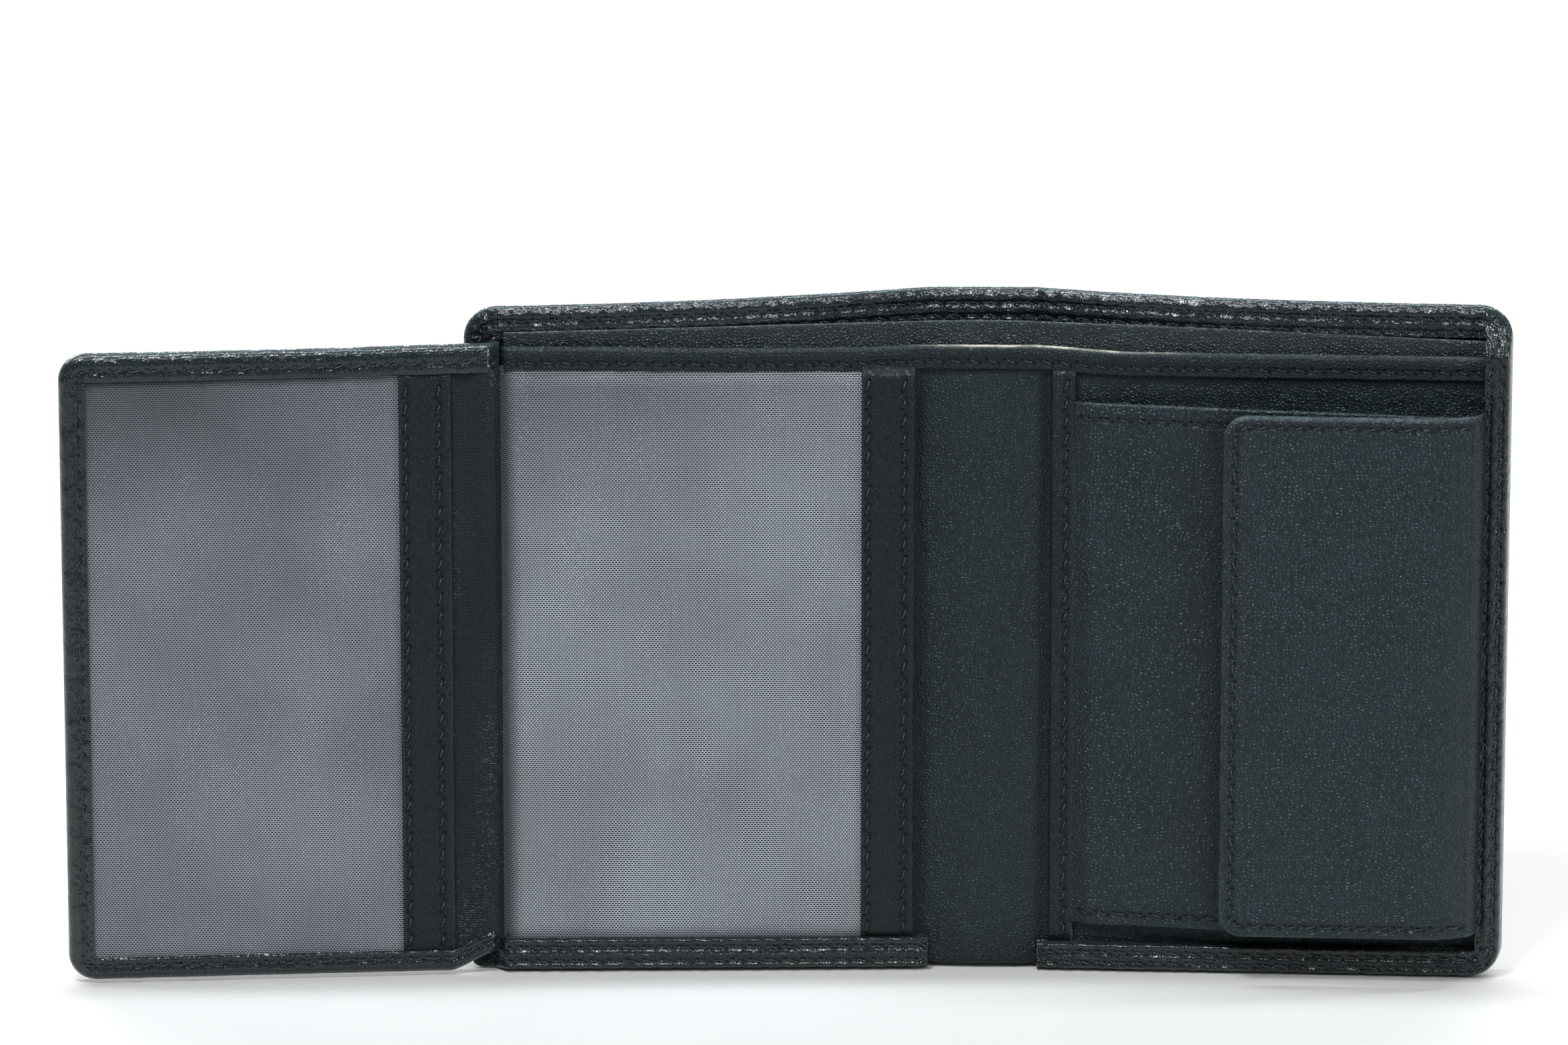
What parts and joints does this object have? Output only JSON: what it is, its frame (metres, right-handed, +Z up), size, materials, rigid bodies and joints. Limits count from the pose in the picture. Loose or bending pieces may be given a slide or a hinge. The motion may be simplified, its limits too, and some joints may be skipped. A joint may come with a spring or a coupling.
{
  "type": "trifold wallet",
  "caption": "Trifold leather wallet standing open: note compartment, net card windows on centre and fold-in leaf, and a gusseted coin pouch under a snap flap.",
  "frame": {"origin": "bottom centre of the bounding box of the open, standing wallet", "axes": "+X from the leaf towards the coin panel, +Y from the inner faces towards the cover, +Z up along the fold lines"},
  "size_m": [0.2626, 0.0244, 0.127],
  "materials": {
    "outer_leather": "fine grain, soft sheen",
    "inner_leather": "fine grain, matte",
    "net": "fine nylon net",
    "dark_lining": "woven polyester",
    "snap_metal": "gunmetal"
  },
  "bodies": {
    "centre_panel": {"cover_left": "outer_leather", "top_hem_left": "outer_leather", "left_edge_hem": "outer_leather", "note_divider_left": "inner_leather", "note_wall_left": "inner_leather", "note_band_left": "outer_leather", "bottom_binding_left": "outer_leather", "window_lining": "dark_lining", "window_net": "net", "window_strip": "outer_leather", "leaf_hinge_lining": "dark_lining"},
    "spine": {"cover_spine": "outer_leather", "top_hem_spine": "outer_leather", "note_divider_spine": "inner_leather", "note_wall_spine": "inner_leather", "note_band_spine": "outer_leather"},
    "coin_panel": {"cover_right": "outer_leather", "top_hem_right": "outer_leather", "right_edge_binding": "outer_leather", "bottom_binding_right": "outer_leather", "note_divider_right": "inner_leather", "note_wall_right": "inner_leather", "note_band_right": "outer_leather", "pocket_edge_strip": "outer_leather", "coin_pouch_back": "inner_leather", "coin_gusset_bottom": "inner_leather", "coin_gusset_top": "inner_leather", "coin_flap_hinge": "outer_leather"},
    "pouch_front": {"coin_pouch_front": "outer_leather", "snap_post": "snap_metal", "snap_stud": "snap_metal"},
    "coin_flap": {"coin_flap_lining": "inner_leather", "coin_flap_outer": "outer_leather", "snap_socket": "snap_metal"},
    "leaf": {"leaf_back": "outer_leather", "leaf_edge_binding": "outer_leather", "leaf_top_binding": "outer_leather", "leaf_bottom_binding": "outer_leather", "leaf_lining": "dark_lining", "leaf_net": "net", "leaf_strip": "outer_leather"}
  },
  "joints": [
    {"name": "spine_fold", "type": "hinge", "parent": "centre_panel", "child": "spine", "pos_m": [0.02628, 0.00367, 0.06], "axis": [0, 0, -1], "range_deg": [0, 87.75]},
    {"name": "coin_panel_fold", "type": "hinge", "parent": "spine", "child": "coin_panel", "pos_m": [0.04526, 0.00292, 0.06], "axis": [0, 0, -1], "range_deg": [0, 87.75]},
    {"name": "leaf_fold", "type": "hinge", "parent": "centre_panel", "child": "leaf", "pos_m": [-0.05372, 0.00012, 0.06], "axis": [0, 0, 1], "range_deg": [0, 176.5], "deforming": ["leaf_hinge_lining"]},
    {"name": "coin_flap_open", "type": "hinge", "parent": "coin_panel", "child": "coin_flap", "pos_m": [0.12392, -0.00959, 0.0586], "axis": [0, 0, 1], "range_deg": [0, 176], "deforming": ["coin_flap_hinge"]},
    {"name": "pouch_gape", "type": "hinge", "parent": "coin_panel", "child": "pouch_front", "pos_m": [0.05323, 0.00089, 0.0586], "axis": [0, 0, -1], "range_deg": [0, 3], "deforming": ["coin_gusset_bottom", "coin_gusset_top"]}
  ],
  "couplings": [
    {"joint": "coin_panel_fold", "follows": "spine_fold", "ratio": 1},
    {"joint": "pouch_gape", "follows": "coin_flap_open", "ratio": 0.017}
  ]
}
